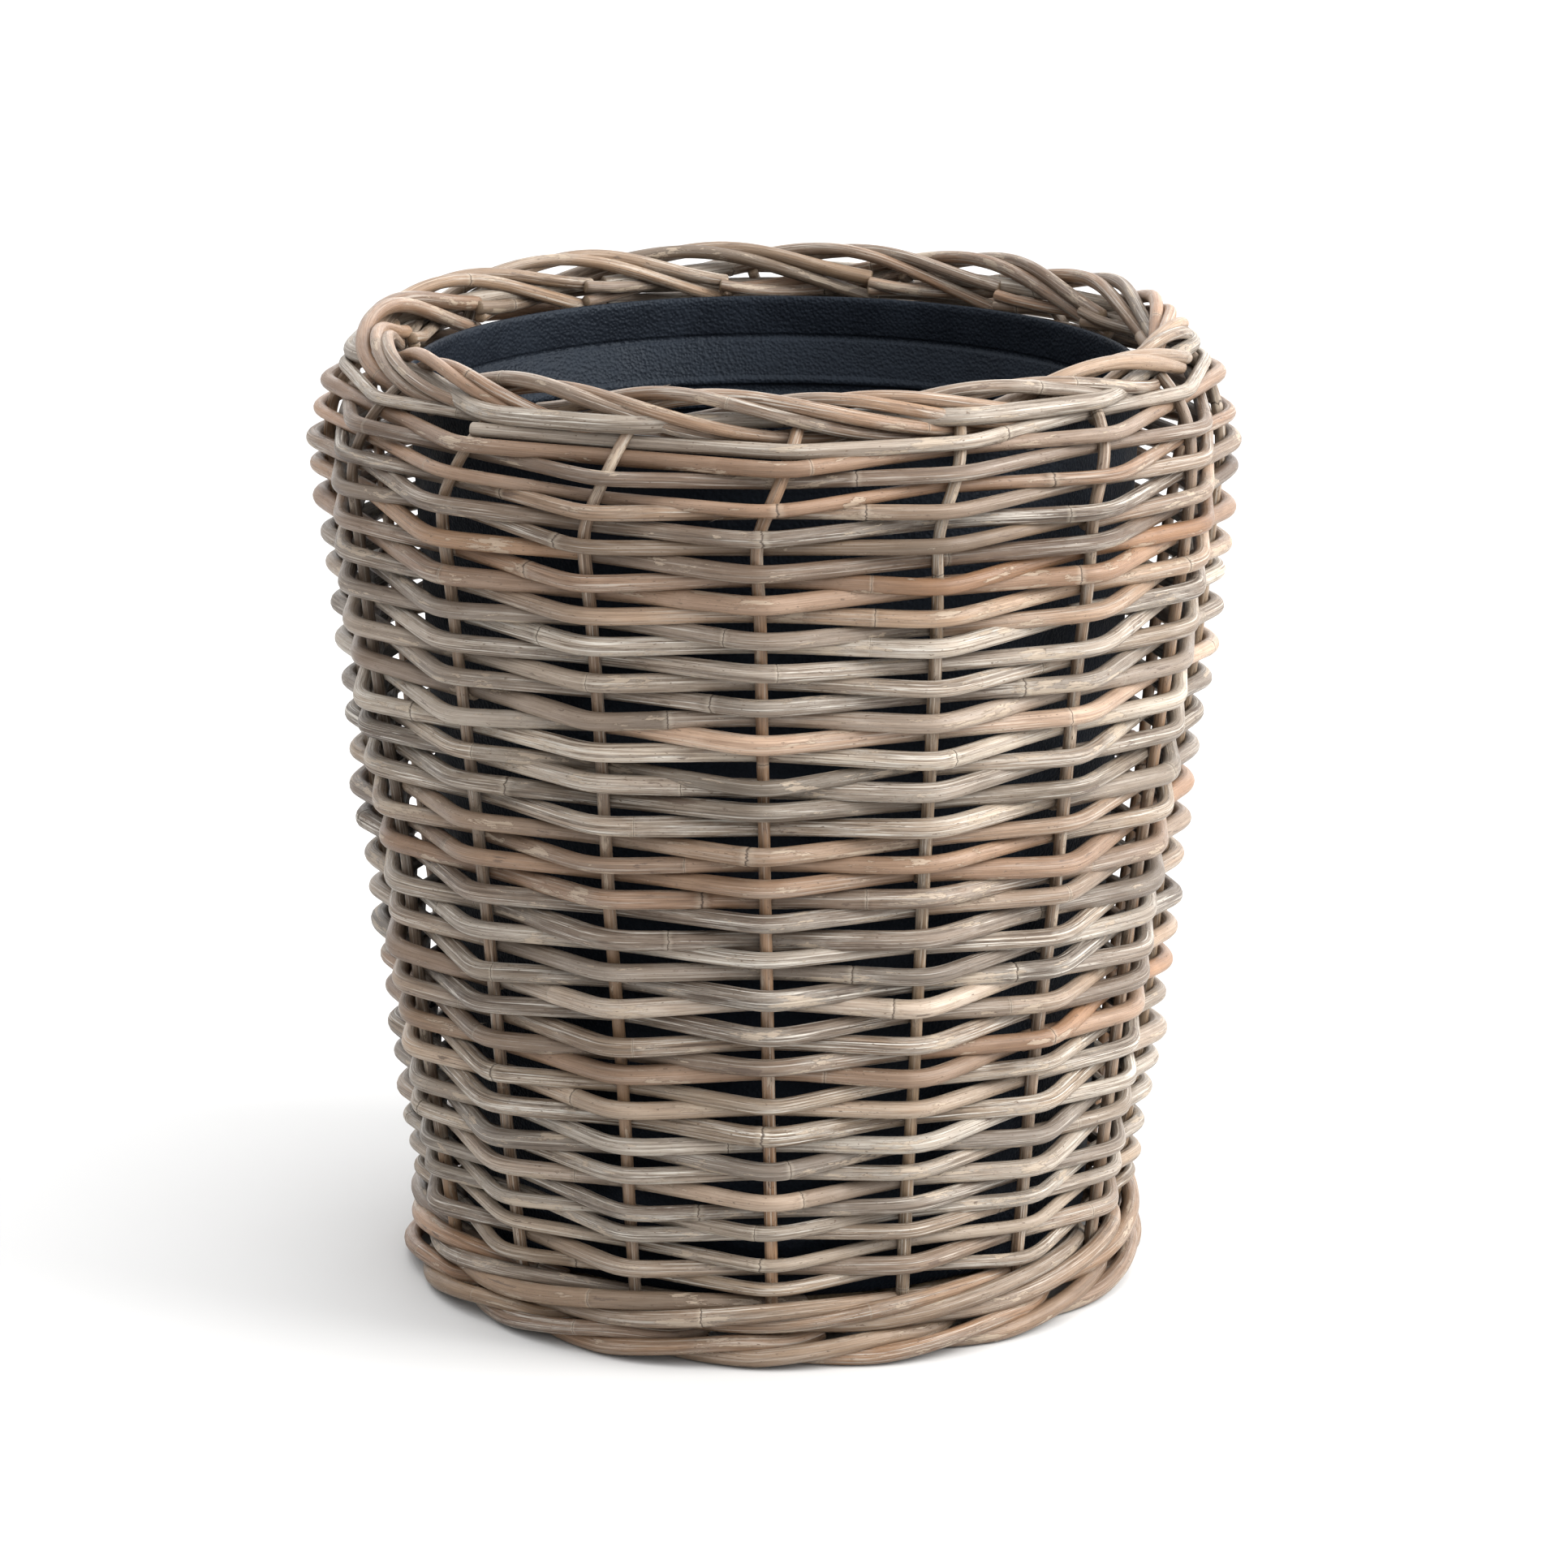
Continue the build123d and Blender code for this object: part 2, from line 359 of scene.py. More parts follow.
class RodMesh:
    """Rods gathered into one mesh, with the values that the cane material reads."""

    def __init__(self):
        self.values = {name: [] for name in ("points", "space", "tint", "gap", "wear", "cut")}
        self.faces = []
        self.count = 0

    def keep(self, points, **values):
        """Store points with one value each, and return the number of the first one."""
        first = self.count
        self.values["points"].append(points)
        for name, value in values.items():
            self.values[name].append(value)
        self.count += len(points)
        return first

    def add(self, line, size, tone, weathering=0.35):
        """One cane of a size along a line, with leaf rings, splinters and cut ends."""
        runs = np.linalg.norm(np.diff(line, axis=0), axis=1)
        along = np.concatenate([[0.0], np.cumsum(runs)])
        length = along[-1]
        knots = place_knots(length)
        places = ring_places(length, knots)
        centres = np.column_stack([np.interp(places, along, line[:, axis]) for axis in range(3)])
        directions = np.gradient(centres, places, axis=0)
        directions /= np.linalg.norm(directions, axis=1)[:, None]
        sideways, upward = cross_axes(directions)

        nearest = np.abs(places[:, None] - knots).argmin(axis=1)
        gap = places - knots[nearest]
        boldness = chance.uniform(0.2, 1, len(knots))[nearest] ** 1.3
        narrowing = cane_taper * (0.5 - places / length)
        radii = size / 2 * (1 + narrowing + wander(places, 0.06, size_wander))
        radii = radii[:, None] * outline(places, gap, boldness)
        across = radii * np.cos(around)
        over = radii * np.sin(around)
        points = across[:, :, None] * sideways[:, None] + over[:, :, None] * upward[:, None]
        points += centres[:, None]

        tint, wear = weathered(places, knots, tone, weathering)
        along_space = np.broadcast_to(places[:, None] + chance.uniform(0, 40), across.shape)
        space = np.stack([across, over, along_space], axis=2)

        first = self.keep(
            points.reshape(-1, 3),
            space=space.reshape(-1, 3),
            tint=np.repeat(tint, sides, axis=0),
            gap=np.repeat(gap / np.maximum(boldness, 0.15), sides),
            wear=np.repeat(wear, sides),
            cut=np.zeros(len(places) * sides),
        )
        here = np.arange(sides)
        there = (here + 1) % sides
        ring = first + np.arange(len(places) - 1)[:, None] * sides
        tube = np.stack([ring + here, ring + there, ring + sides + there, ring + sides + here], 2)
        self.faces.extend(tube.reshape(-1, 4).tolist())
        last = first + (len(places) - 1) * sides
        self.close_end(first, points[0], space[0], -directions[0], tint[0], there, here)
        self.close_end(last, points[-1], space[-1], directions[-1], tint[-1], here, there)
        for _ in range(chance.poisson(splinters_per_metre * length)):
            index = int(chance.integers(8, len(places) - 8))
            side = int(chance.integers(sides))
            self.add_splinter(points[index, side], centres[index], directions[index], tint[index])

    def add_splinter(self, root, centre, direction, tint):
        """A fibre that has lifted from a cane: a thin spike bent away from it."""
        outward = (root - centre) / np.linalg.norm(root - centre)
        sideways = np.cross(direction, outward)
        reach = chance.uniform(0.003, 0.009)
        lift = chance.uniform(0.15, 0.45) * reach
        half = chance.uniform(0.00012, 0.00030)
        way = direction * chance.choice([-1, 1])
        sunk = root - 0.0003 * outward
        midway = root + 0.5 * reach * way + 0.3 * lift * outward
        spike = [
            sunk - half * sideways,
            sunk + half * sideways,
            root + 0.0003 * outward,
            midway - 0.6 * half * sideways,
            midway + 0.6 * half * sideways,
            midway + half * outward,
            root + reach * way + lift * outward,
        ]
        first = self.keep(
            np.array(spike),
            space=np.array(spike),
            tint=np.repeat(blend(tint, pale, 0.5)[None, :], len(spike), axis=0),
            gap=np.full(len(spike), clear_of_knots),
            wear=np.full(len(spike), 0.5),
            cut=np.zeros(len(spike)),
        )
        for corner in range(3):
            after = (corner + 1) % 3
            wall = [corner, after, 3 + after, 3 + corner]
            self.faces.append([first + number for number in wall])
            self.faces.append([first + 3 + corner, first + 3 + after, first + 6])
        self.faces.append([first + 2, first + 1, first])

    def close_end(self, ring, points, space, outward, tint, here, there):
        """A sawn end: a small bevel and a flat face."""
        middle = points.mean(axis=0)
        rim = middle + 0.86 * (points - middle) + end_bevel * outward
        first = self.keep(
            np.vstack([rim, middle + end_dome * outward]),
            space=np.vstack([space, space.mean(axis=0)]),
            tint=np.repeat(tint[None, :], sides + 1, axis=0),
            gap=np.full(sides + 1, clear_of_knots),
            wear=np.full(sides + 1, 0.5),
            cut=np.concatenate([np.full(sides, 0.6), [1.0]]),
        )
        bevel = np.column_stack([ring + here, ring + there, first + there, first + here])
        self.faces.extend(bevel.tolist())
        face = np.column_stack([first + here, first + there, np.full(sides, first + sides)])
        self.faces.extend(face.tolist())

    def make(self, name, material, replaced):
        """Turn the rods into a piece that stands for CAD nodes and rides on the basket."""
        joined = {key: np.concatenate(parts) for key, parts in self.values.items()}
        mesh = bpy.data.meshes.new(name)
        mesh.from_pydata(joined["points"].tolist(), [], self.faces)
        colours = np.column_stack([np.clip(joined["tint"], 0, 1), np.ones(self.count)])
        for label, kind, key, data in (
            ("rod_space", "FLOAT_VECTOR", "vector", joined["space"]),
            ("tint", "FLOAT_COLOR", "color", colours),
            ("knot_gap", "FLOAT", "value", joined["gap"]),
            ("wear", "FLOAT", "value", joined["wear"]),
            ("cut", "FLOAT", "value", joined["cut"]),
        ):
            layer = mesh.attributes.new(label, kind, "POINT")
            layer.data.foreach_set(key, np.ascontiguousarray(data, np.float32).ravel())
        mesh.polygons.foreach_set("use_smooth", np.ones(len(mesh.polygons), bool))
        place_piece(mesh, name, material, replaced, "basket")


def place_piece(mesh, name, material, replaced, body):
    """A piece in the scene, with its material, its CAD nodes and its body."""
    piece = bpy.data.objects.new(name, mesh)
    bpy.context.scene.collection.objects.link(piece)
    mesh.materials.append(material)
    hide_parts(*replaced)
    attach(piece, body)
    return piece


# ---------------------------------------------------------------- shader building


def add(tree, kind, inputs=None, **settings):
    """A shader node; inputs gives each socket a value or another node's output."""
    node = tree.nodes.new(kind)
    for name, value in settings.items():
        setattr(node, name, value)
    for socket, value in (inputs or {}).items():
        if isinstance(value, bpy.types.NodeSocket):
            tree.links.new(value, node.inputs[socket])
        else:
            node.inputs[socket].default_value = value
    return node


def maths(tree, operation, first, second=0.0):
    return add(tree, "ShaderNodeMath", {0: first, 1: second}, operation=operation).outputs[0]


def ramp(tree, value, start, end, low_value=0.0, high_value=1.0):
    """A value remapped smoothly from one range to another."""
    inputs = {
        "Value": value,
        "From Min": start,
        "From Max": end,
        "To Min": low_value,
        "To Max": high_value,
    }
    kind = "ShaderNodeMapRange"
    return add(tree, kind, inputs, interpolation_type="SMOOTHSTEP").outputs[0]


def mix(tree, share, first, second, way="MIX"):
    """Two colours mixed; each is a socket or a linear colour."""
    inputs = {"Factor": share}
    node = add(tree, "ShaderNodeMix", inputs, data_type="RGBA", blend_type=way)
    for socket, value in ((6, first), (7, second)):
        if isinstance(value, bpy.types.NodeSocket):
            tree.links.new(value, node.inputs[socket])
        else:
            node.inputs[socket].default_value = (*value, 1.0)
    return node.outputs[2]


def attribute(tree, name, output="Fac"):
    return add(tree, "ShaderNodeAttribute", attribute_name=name).outputs[output]


def noise(tree, vector, scale, detail=4.0, roughness=0.55, distortion=0.0):
    """Noise stretched by a scale along each axis of a vector."""
    spread = add(tree, "ShaderNodeMapping", {"Vector": vector, "Scale": scale})
    inputs = {
        "Vector": spread.outputs[0],
        "Scale": 1.0,
        "Detail": detail,
        "Roughness": roughness,
        "Distortion": distortion,
    }
    return add(tree, "ShaderNodeTexNoise", inputs).outputs[0]


def new_material(name):
    material = bpy.data.materials.new(name)
    material.use_nodes = True
    return material, material.node_tree, material.node_tree.nodes["Principled BSDF"]


# ---------------------------------------------------------------- materials


def times(tree, first, second):
    return maths(tree, "MULTIPLY", first, second)


def plus(tree, first, second):
    return maths(tree, "ADD", first, second)


def minus(tree, first, second):
    return maths(tree, "SUBTRACT", first, second)


def cane_patterns(tree):
    """The noise patterns of cane, most of them drawn out along the rod."""
    space = attribute(tree, "rod_space", "Vector")
    return {
        "clouds": noise(tree, space, (130, 130, 24), 5, 0.62, 0.4),
        "mottle": noise(tree, space, (60, 60, 34), 4, 0.6, 0.8),
        "streaks": noise(tree, space, (720, 720, 11), 6, 0.7, 0.2),
        "light_streaks": noise(tree, space, (900, 900, 16), 5, 0.65, 0.2),
        "fibres": noise(tree, space, (2300, 2300, 42), 4, 0.6),
        "scuffs": noise(tree, space, (330, 330, 70), 6, 0.72, 0.6),
        "specks": noise(tree, space, (900, 900, 330), 2, 0.5),
        "hairlines": noise(tree, space, (1000, 1000, 13), 3, 0.55, 0.5),
    }


def weathered_colour(tree, patterns, tint, wear):
    """The cane's own colour, mottled, streaked and greyed by the weather."""
    blotches = ramp(tree, patterns["mottle"], 0.35, 0.65, 0.55, 0.0)
    colour = mix(tree, blotches, tint, (0.74, 0.68, 0.62), "MULTIPLY")
    at_least_some_wear = plus(tree, times(tree, wear, 0.8), 0.2)
    dark_streak = times(tree, ramp(tree, patterns["streaks"], 0.47, 0.58), at_least_some_wear)
    colour = mix(tree, dark_streak, colour, (0.38, 0.33, 0.29), "MULTIPLY")
    light_streak = times(tree, ramp(tree, patterns["light_streaks"], 0.52, 0.64, 0.0, 0.95), wear)
    colour = mix(tree, light_streak, colour, srgb(214, 209, 200))
    greying = times(tree, ramp(tree, patterns["clouds"], 0.45, 0.65, 0.0, 0.55), wear)
    return mix(tree, greying, colour, srgb(172, 166, 157))


def peel_and_bruise(tree, patterns, colour):
    """Patches where the skin has peeled, with a dark torn edge, and dark bruises."""
    peel_edge = plus(tree, patterns["clouds"], times(tree, patterns["scuffs"], 0.6))
    peeled = ramp(tree, peel_edge, 0.912, 0.930)
    torn_edge = times(tree, ramp(tree, peel_edge, 0.890, 0.912), 0.5)
    colour = mix(tree, torn_edge, colour, (0.52, 0.45, 0.38), "MULTIPLY")
    colour = mix(tree, times(tree, peeled, 0.5), colour, srgb(198, 182, 162))
    bruise_edge = minus(tree, patterns["clouds"], times(tree, patterns["scuffs"], 0.3))
    bruise = ramp(tree, bruise_edge, 0.165, 0.19, 0.7, 0.0)
    return mix(tree, bruise, colour, srgb(88, 72, 62)), peeled


def fine_marks(tree, patterns, colour, wear):
    """Dark fibres, hairline cracks along the rod and small specks."""
    dark_fibres = ramp(tree, patterns["fibres"], 0.32, 0.66, 0.65, 0.0)
    colour = mix(tree, dark_fibres, colour, (0.58, 0.53, 0.48), "MULTIPLY")
    near_line = maths(tree, "ABSOLUTE", minus(tree, patterns["hairlines"], 0.5))
    crack = times(tree, ramp(tree, near_line, 0.0, 0.011, 1.0, 0.0), wear)
    crack = times(tree, crack, ramp(tree, patterns["mottle"], 0.42, 0.62))
    colour = mix(tree, times(tree, crack, 0.85), colour, srgb(84, 70, 58))
    speck = ramp(tree, patterns["specks"], 0.66, 0.73, 0.0, 0.8)
    return mix(tree, speck, colour, srgb(92, 74, 60)), crack, speck


def leaf_ring(tree, patterns, colour):
    """The dark ring of a knot, the pale collar beside it and the stain round it."""
    scuffs = patterns["scuffs"]
    ragged = times(tree, minus(tree, scuffs, 0.5), 0.006)
    from_ring = maths(tree, "ABSOLUTE", plus(tree, attribute(tree, "knot_gap"), ragged))
    ring = ramp(tree, from_ring, 0.0001, 0.0008, 1.0, 0.0)
    collar = ramp(tree, from_ring, 0.0012, 0.0050, 0.16, 0.0)
    stain = times(tree, ramp(tree, from_ring, 0.002, 0.012, 1.0, 0.0), 0.5)
    stain = times(tree, stain, ramp(tree, scuffs, 0.48, 0.60))
    colour = mix(tree, stain, colour, (0.42, 0.36, 0.30), "MULTIPLY")
    colour = mix(tree, collar, colour, srgb(204, 194, 176))
    return mix(tree, times(tree, ring, 0.85), colour, srgb(62, 48, 39)), ring


def cane_material():
    """Weathered rattan: streaks along each cane, greyed and peeled patches, leaf rings."""
    material, tree, shader = new_material("weathered_cane")
    patterns = cane_patterns(tree)
    wear = attribute(tree, "wear")
    colour = weathered_colour(tree, patterns, attribute(tree, "tint", "Color"), wear)
    colour, peeled = peel_and_bruise(tree, patterns, colour)
    colour, crack, speck = fine_marks(tree, patterns, colour, wear)
    colour, ring = leaf_ring(tree, patterns, colour)
    sawn = times(tree, attribute(tree, "cut"), 0.75)
    colour = mix(tree, sawn, colour, srgb(142, 122, 98))

    height = plus(tree, times(tree, patterns["fibres"], 0.45), patterns["streaks"])
    height = plus(tree, height, times(tree, patterns["scuffs"], 0.35))
    for hollow, depth in ((peeled, 0.4), (crack, 0.9), (ring, 0.7), (speck, 0.5)):
        height = minus(tree, height, times(tree, hollow, depth))
    bump = add(tree, "ShaderNodeBump", {"Strength": 0.6, "Distance": 0.0006, "Height": height})
    rough = ramp(tree, patterns["scuffs"], 0.3, 0.7, 0.28, 0.50)
    rough = plus(tree, rough, times(tree, wear, 0.12))

    tree.links.new(colour, shader.inputs["Base Color"])
    tree.links.new(rough, shader.inputs["Roughness"])
    tree.links.new(bump.outputs[0], shader.inputs["Normal"])
    shader.inputs["Specular IOR Level"].default_value = 0.4
    return material


def base_material():
    """The same cane seen from below, without rod coordinates: dull and dusty."""
    material, tree, shader = new_material("base_cane")
    place = add(tree, "ShaderNodeNewGeometry").outputs["Position"]
    clouds = noise(tree, place, (60, 60, 60), 5, 0.6)
    fibres = noise(tree, place, (500, 500, 500), 4, 0.6)
    cloudy = ramp(tree, clouds, 0.35, 0.65)
    colour = mix(tree, cloudy, srgb(150, 122, 94), srgb(172, 152, 126))
    dark_fibres = ramp(tree, fibres, 0.3, 0.6, 0.5, 0.0)
    colour = mix(tree, dark_fibres, colour, (0.5, 0.45, 0.4), "MULTIPLY")
    bump = add(tree, "ShaderNodeBump", {"Strength": 0.4, "Distance": 0.0005, "Height": fibres})
    tree.links.new(colour, shader.inputs["Base Color"])
    tree.links.new(ramp(tree, clouds, 0.3, 0.7, 0.5, 0.7), shader.inputs["Roughness"])
    tree.links.new(bump.outputs[0], shader.inputs["Normal"])
    return material


def liner_material():
    """Blue-black moulded plastic with a pebbled grain."""
    material, tree, shader = new_material("pebbled_plastic")
    place = add(tree, "ShaderNodeNewGeometry").outputs["Position"]
    inputs = {"Vector": place, "Scale": 560.0, "Smoothness": 0.6, "Randomness": 1.0}
    pebbles = add(tree, "ShaderNodeTexVoronoi", inputs, feature="SMOOTH_F1").outputs["Distance"]
    fine = noise(tree, place, (900, 900, 900), 3, 0.6)
    dust = noise(tree, place, (35, 35, 35), 5, 0.65)
    height = plus(tree, pebbles, times(tree, fine, 0.35))
    bump = add(tree, "ShaderNodeBump", {"Strength": 0.7, "Distance": 0.0008, "Height": height})
    dusty = ramp(tree, dust, 0.35, 0.75)
    colour = mix(tree, dusty, srgb(22, 26, 33), srgb(29, 34, 42))
    tree.links.new(colour, shader.inputs["Base Color"])
    tree.links.new(ramp(tree, dust, 0.3, 0.7, 0.46, 0.60), shader.inputs["Roughness"])
    tree.links.new(bump.outputs[0], shader.inputs["Normal"])
    shader.inputs["Specular IOR Level"].default_value = 0.17
    shader.inputs["Specular Tint"].default_value = (0.75, 0.87, 1.0, 1.0)
    return material


def floor_material():
    material, tree, shader = new_material("studio_floor")
    place = add(tree, "ShaderNodeNewGeometry").outputs["Position"]
    clouds = noise(tree, place, (3, 3, 3), 3, 0.5)
    colour = mix(tree, clouds, (0.58, 0.58, 0.58), (0.60, 0.60, 0.60))
    tree.links.new(colour, shader.inputs["Base Color"])
    shader.inputs["Roughness"].default_value = 0.9
    shader.inputs["Specular IOR Level"].default_value = 0.1
    return material


cane = cane_material()


# ---------------------------------------------------------------- stakes


stake_top = rim_height - 0.005
upright_heights = np.linspace(stake_bottom, lean_height, 12)
leaning_heights = np.linspace(lean_height, stake_top, 6)[1:]
stake_heights = np.concatenate([upright_heights, leaning_heights])


def stake_piece(number):
    targets = [wall_point(stake_angle(number, height), 0, height) for height in stake_heights]
    rod = RodMesh()
    tone = 0.96 * blend(honey, beige, chance.uniform(0.35, 1.0))
    rod.add(bent_line(targets, 0.010), 1.04 * stake_size, tone)
    rod.make(f"stake_cane_{number + 1:02d}", cane, [stake_nodes[number]])


for number in range(stake_count):
    stake_piece(number)


# ---------------------------------------------------------------- weave

row_sizes = [size * chance.normal(1.16, 0.075) for _, size in cad_rows]
row_heights = [height + chance.normal(0, 0.0007) for height, _ in cad_rows]
row_start_shift = 10
canes_per_row = 3
woven_count = row_count - wale_count + 1
row_droop = 0.0007


def passes_outside(row, number):
    """Whether a row passes outside a stake: the top two do so two times out of three."""
    if row >= woven_count:
        return (number + row) % 3 != 0
    return (number + row) % 2 == 0


def weaver_line(row):
    """Line of a row once round the basket, and the points where it passes the stakes."""
    first_stake = row * row_start_shift + 1 - row % 2
    swing = (stake_size + row_sizes[row]) / 2
    height = row_heights[row]
    targets = []
    for number in range(first_stake, first_stake + stake_count + 1):
        side = 1 if passes_outside(row, number) else -1
        out = side * swing + chance.normal(0, 0.0006)
        angle = stake_angle(number, height) + chance.normal(0, 0.005)
        lift = chance.normal(0, 0.0012) - side * row_droop
        targets.append(wall_point(angle, out, height + lift))
    return bent_line(targets, chance.uniform(0.006, 0.012)), np.array(targets)


def row_canes(row):
    """Lines of the canes that make up a row. They meet behind stakes, out of sight."""
    line, targets = weaver_line(row)
    if row >= woven_count:
        return [line]
    hidden = np.arange(2, stake_count - 1, 2)
    picked = sorted(chance.choice(hidden, size=canes_per_row - 1, replace=False))
    joins = [int(np.linalg.norm(line - targets[stake], axis=1).argmin()) for stake in picked]
    return np.split(line, joins)


def woven_piece(name, rows, node):
    piece = RodMesh()
    for row in rows:
        for cane_line in row_canes(row):
            tone, weathering = row_tone(row)
            size = row_sizes[row] * chance.normal(1, 0.03)
            piece.add(cane_line, size, tone, weathering)
    piece.make(name, cane, [node])


for node_number, node in enumerate(weave_nodes):
    first_row = node_number * rows_per_node
    name = f"woven_rows_{first_row + 1:02d}_{first_row + rows_per_node:02d}"
    woven_piece(name, range(first_row, first_row + rows_per_node), node)
woven_piece("top_wale_canes", range(row_count - wale_count, row_count), "top_wale")


# ---------------------------------------------------------------- borders


strand_reach = 4  # a rod meets the strands that start up to this many stakes away
settling = 0.7
rim_pressing = 0.88  # how close the middles of two border rods come, in rod sizes
foot_pressing = 0.94


def settle(routes, spacing, clearance, rounds, floor=None):
    """Push the rods of a repeating border apart, across it, until they are a clearance apart.

    Each route runs along X, and the border repeats every spacing along X.
    """
    lines = [soften(resample(route)[0], 0.012) for route in routes]
    for _ in range(rounds):
        moves = [np.zeros_like(line) for line in lines]
        for index, line in enumerate(lines):
            for other_index, other in enumerate(lines):
                for shift in range(-strand_reach, strand_reach + 1):
                    if index == other_index and shift == 0:
                        continue
                    apart = line[:, None] - (other + (shift * spacing, 0, 0))[None]
                    distances = np.linalg.norm(apart, axis=2)
                    nearest = distances.argmin(axis=1)
                    picked = np.arange(len(line))
                    distance = distances[picked, nearest]
                    lack = np.clip(clearance - distance, 0, None)
                    push = lack / 2 / np.maximum(distance, 1e-5)
                    moves[index] += push[:, None] * apart[picked, nearest]
        for index, line in enumerate(lines):
            line[:, 1:] += settling * moves[index][:, 1:]
            lines[index] = soften(line, 0.004)
            if floor is not None:
                lines[index][:, 2] = np.maximum(lines[index][:, 2], floor)
    return lines


def wrap(line, start_angle, middle_radius, height, unrolled_radius):
    """A border line, unrolled flat at one radius, bent back round the basket."""
    angles = start_angle + line[:, 0] / unrolled_radius
    radii = middle_radius + line[:, 1]
    return np.column_stack([radii * np.cos(angles), radii * np.sin(angles), height + line[:, 2]])


# Rim: (stake spacings passed, out from the rim's middle, up from it) along a strand of two rods
rim_route = np.array(
    [
        (0.25, -0.0060, -0.0125),
        (0.60, -0.0100, -0.0050),
        (0.95, -0.0085, 0.0045),
        (1.28, -0.0025, 0.0125),
        (1.65, 0.0040, 0.0095),
        (2.05, 0.0088, 0.0015),
        (2.45, 0.0098, -0.0070),
        (2.82, 0.0030, -0.0125),
        (3.12, -0.0070, -0.0125),
        (3.36, -0.0120, -0.0090),
    ]
)
peak_travel = 1.15


def rim_strand_routes(spacing):
    """Routes of the two rods of a strand, side by side and parted a little at the peak."""
    route = rim_route * (spacing, 1, 1)
    ahead = np.gradient(rim_route[:, 1:], axis=0)
    ahead /= np.linalg.norm(ahead, axis=1)[:, None]
    parting = 0.0034 + 0.0024 * np.exp(-(((rim_route[:, 0] - peak_travel) / 0.35) ** 2))
    routes = []
    for way in (-1, 1):
        offset = np.column_stack([np.zeros(len(route)), way * parting[:, None] * ahead])
        routes.append(route + offset)
    return routes


rim_spacing = rim_radius * stake_step
rim_routes = rim_strand_routes(rim_spacing)
rim_lines = settle(rim_routes, rim_spacing, rim_pressing * rim_size, rounds=40)
rim_inner_radius = high("liner").x + rim_size / 2 + 0.0006


def rim_rod(number, line):
    """One rod of a strand in its place on the rim, kept off the liner."""
    start = stake_angle(number, rim_height) - 0.1 * stake_step + chance.normal(0, 0.006)
    line = line * (1, chance.normal(1, 0.05), chance.normal(1, 0.10))
    line = line + np.array([0, chance.normal(0, 0.0005), chance.normal(0, 0.0006)])
    points = wrap(line, start, rim_radius, rim_height, rim_radius)
    reach = np.hypot(points[:, 0], points[:, 1])
    points[:, :2] *= (np.maximum(reach, rim_inner_radius) / reach)[:, None]
    return points


stakes_per_rim_node = stake_count // len(rim_nodes)
for node_number, node in enumerate(rim_nodes):
    strands = RodMesh()
    first = node_number * stakes_per_rim_node
    for number in range(first, first + stakes_per_rim_node):
        tone = blend(beige, honey, chance.uniform(0.3, 1.0))
        for line in rim_lines:
            size = rim_size * chance.normal(1.0, 0.07)
            tone = blend(tone, grey, chance.uniform(0, 0.25)) * chance.normal(1, 0.10)
            strands.add(rim_rod(number, line), size, tone, chance.uniform(0.15, 0.6))
    strands.make(f"rim_border_{node_number + 1}", cane, [node])


# Foot: (stake spacings passed, out from the stakes, height) along a low and a high rod
foot_routes = [
    np.array(
        [
            (0.00, -0.004, 0.0055),
            (0.30, 0.008, 0.0050),
            (0.70, 0.016, 0.0055),
            (1.20, 0.0175, 0.0090),
            (1.70, 0.0150, 0.0125),
            (2.10, 0.0080, 0.0140),
            (2.40, -0.002, 0.0145),
        ]
    ),
    np.array(
        [
            (0.05, 0.000, 0.0140),
            (0.45, 0.0090, 0.0170),
            (1.00, 0.0130, 0.0215),
            (1.60, 0.0110, 0.0285),
            (2.20, 0.0088, 0.0345),
            (2.60, 0.0068, 0.0372),
            (2.92, -0.0040, 0.0350),
            (3.20, -0.0125, 0.0270),
        ]
    ),
]
foot_unrolled_radius = wall_radius(0.02) + 0.012
foot_spacing = foot_unrolled_radius * stake_step
foot_lines = settle(
    [route * (foot_spacing, 1, 1) for route in foot_routes],
    foot_spacing,
    foot_pressing * foot_size,
    rounds=120,
    floor=foot_size / 2,
)
lowest_middle = 0.58  # share of a foot rod's size that its middle stays above the ground


def foot_rod(number, line, size):
    """One rod in its place on the foot, with its uneven underside kept off the ground."""
    start = stake_angle(number, 0) + chance.normal(0, 0.02)
    line = line + np.array([0, chance.normal(0, 0.0010), abs(chance.normal(0, 0.0006))])
    line[:, 2] = np.maximum(line[:, 2], lowest_middle * size)
    return wrap(line, start, wall_radius(line[:, 2]), 0, foot_unrolled_radius)


stakes_per_foot_node = stake_count // len(foot_nodes)
for node_number, node in enumerate(foot_nodes):
    rods = RodMesh()
    first = node_number * stakes_per_foot_node
    for number in range(first, first + stakes_per_foot_node):
        for line in foot_lines:
            tone = 0.85 * blend(honey, beige, chance.uniform(0.1, 0.8)) * chance.normal(1, 0.08)
            size = foot_size * chance.normal(1.0, 0.05)
            rods.add(foot_rod(number, line, size), size, tone, chance.uniform(0.1, 0.6))
    rods.make(f"foot_border_{node_number + 1}", cane, [node])


# ---------------------------------------------------------------- base

base_cane = base_material()
for node in base_nodes:
    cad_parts[node].data.materials.clear()
    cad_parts[node].data.materials.append(base_cane)


# ---------------------------------------------------------------- liner

liner_top = high("liner").z - 0.004
liner_bottom = low("liner").z
liner_top_radius = high("liner").x
liner_bottom_radius = liner_top_radius - 0.025
liner_wall = 0.0025
liner_sides = 256
floor_bend = 0.006
lap_angle = radians(116)
lap_ramp = 0.012
lap_rise = 0.0030
lap_band = (0.050, 0.064)


def liner_radius(height):
    share = (height - liner_bottom) / (liner_top - liner_bottom)
    return liner_bottom_radius + share * (liner_top_radius - liner_bottom_radius)


